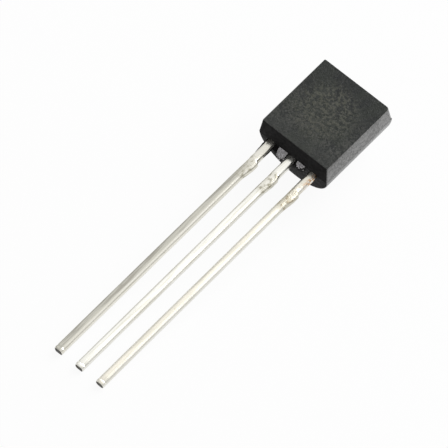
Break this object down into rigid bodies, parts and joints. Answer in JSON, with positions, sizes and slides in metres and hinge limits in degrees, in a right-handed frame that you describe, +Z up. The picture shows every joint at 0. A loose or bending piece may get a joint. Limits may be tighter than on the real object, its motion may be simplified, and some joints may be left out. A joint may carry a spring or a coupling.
{
  "type": "voltage regulator",
  "caption": "Small moulded voltage regulator with a flat face, a round back and straight tinned leads, lying flat side up.",
  "frame": {"origin": "on the ground, under the middle of the part's box as it lies at rest", "axes": "+Y from the lead tips towards the body, +X towards the input lead, +Z up, on the side of the flat face"},
  "size_m": [0.0042, 0.0192, 0.0035],
  "materials": {
    "resin": "dark greenish grey moulding resin with a fine eroded grain",
    "tinned_lead": "bright tin plate over copper alloy",
    "chip_adhesive": "silver-filled adhesive",
    "silicon": "polished silicon",
    "gold_wire": "drawn gold wire"
  },
  "bodies": {
    "root": {"moulded_body": "resin", "output_lead": "tinned_lead", "ground_lead": "tinned_lead", "input_lead": "tinned_lead", "die_attach": "chip_adhesive", "regulator_die": "silicon", "output_bond_wire": "gold_wire", "ground_bond_wire": "gold_wire", "input_bond_wire": "gold_wire"}
  },
  "joints": []
}
